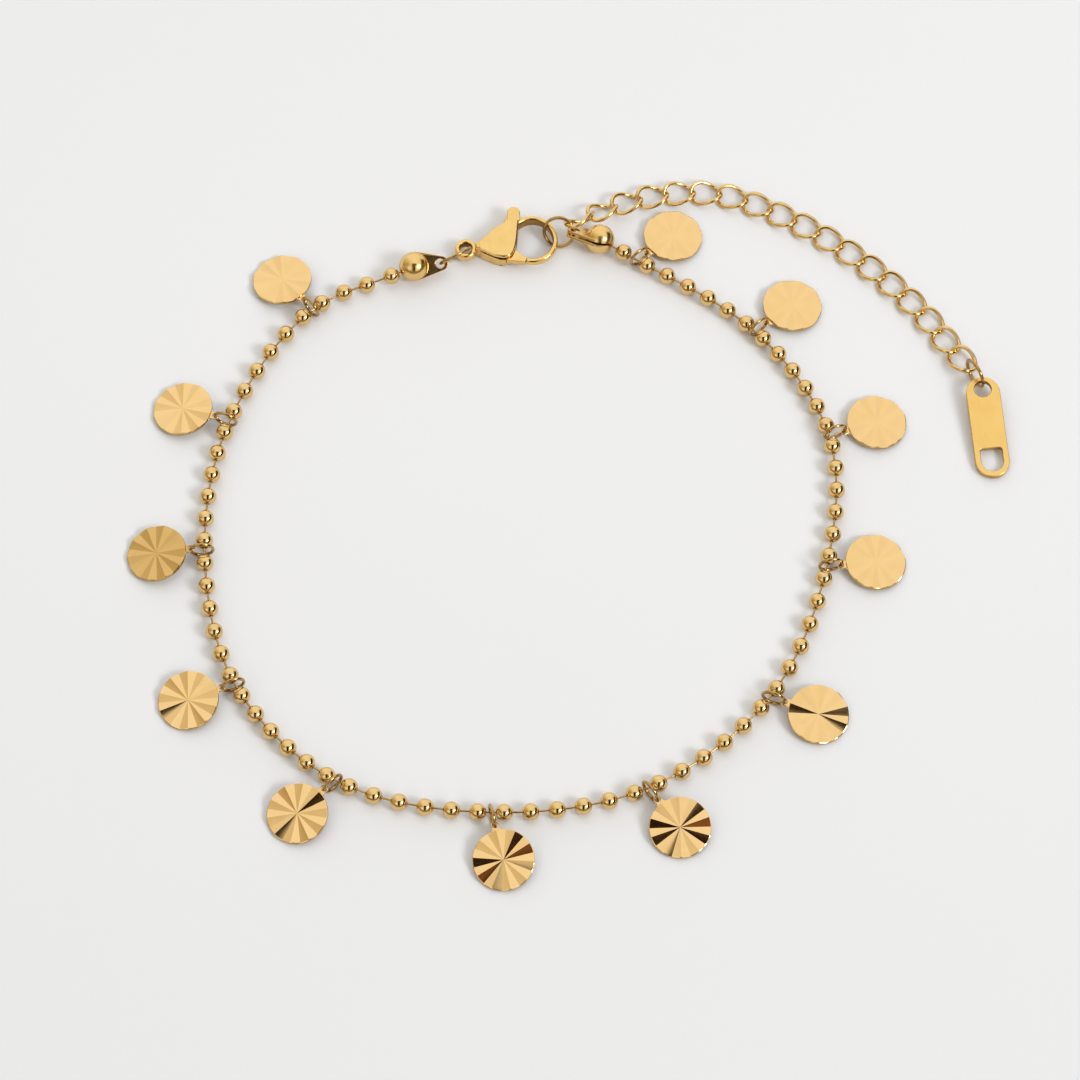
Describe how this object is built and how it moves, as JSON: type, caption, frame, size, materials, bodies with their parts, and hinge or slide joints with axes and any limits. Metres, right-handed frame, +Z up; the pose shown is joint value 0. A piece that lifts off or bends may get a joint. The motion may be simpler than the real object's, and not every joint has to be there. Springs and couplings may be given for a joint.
{
  "type": "chain anklet",
  "caption": "Ball-chain anklet with ridged sunburst disc drops, end caps, sprung lobster clasp, curb-link extension chain and a plain flat end tag.",
  "frame": {"origin": "middle of the footprint, on the surface that the anklet lies on", "axes": "+Z up from the surface, +Y from the middle of the loop towards the clasp, +X towards the extension chain and its tag"},
  "size_m": [0.1024, 0.092, 0.0039],
  "materials": {
    "polished_gold": "polished",
    "satin_gold": "satin"
  },
  "bodies": {
    "anklet": {"bead_chain": "polished_gold", "drop_ring_01": "polished_gold", "drop_ring_02": "polished_gold", "drop_ring_03": "polished_gold", "drop_ring_04": "polished_gold", "drop_ring_05": "polished_gold", "drop_ring_06": "polished_gold", "drop_ring_07": "polished_gold", "drop_ring_08": "polished_gold", "drop_ring_09": "polished_gold", "drop_ring_10": "polished_gold", "drop_ring_11": "polished_gold", "drop_ring_12": "polished_gold", "sunburst_disc_01": "satin_gold", "sunburst_disc_02": "satin_gold", "sunburst_disc_03": "satin_gold", "sunburst_disc_04": "satin_gold", "sunburst_disc_05": "satin_gold", "sunburst_disc_06": "satin_gold", "sunburst_disc_07": "satin_gold", "sunburst_disc_08": "satin_gold", "sunburst_disc_09": "satin_gold", "sunburst_disc_10": "satin_gold", "sunburst_disc_11": "satin_gold", "sunburst_disc_12": "satin_gold", "end_cap_left": "polished_gold", "end_cap_right": "polished_gold", "clasp_ring": "polished_gold", "clasp_body": "polished_gold", "extender_ring": "polished_gold", "extension_link_01": "polished_gold", "extension_link_02": "polished_gold", "extension_link_03": "polished_gold", "extension_link_04": "polished_gold", "extension_link_05": "polished_gold", "extension_link_06": "polished_gold", "extension_link_07": "polished_gold", "extension_link_08": "polished_gold", "extension_link_09": "polished_gold", "extension_link_10": "polished_gold", "extension_link_11": "polished_gold", "extension_link_12": "polished_gold", "extension_link_13": "polished_gold", "extension_link_14": "polished_gold", "extension_link_15": "polished_gold", "extension_link_16": "polished_gold", "extension_link_17": "polished_gold", "extension_link_18": "polished_gold", "tag_ring": "polished_gold", "end_tag": "polished_gold"},
    "clasp_lever": {"clasp_lever": "polished_gold"}
  },
  "joints": [
    {"name": "clasp_lever_hinge", "type": "hinge", "parent": "anklet", "child": "clasp_lever", "pos_m": [-0.00857, 0.03623, 0.00115], "axis": [0, 0, 1], "range_deg": [0, 25], "stiffness_Nm_per_rad": 0.004, "springref_deg": -17.19}
  ]
}
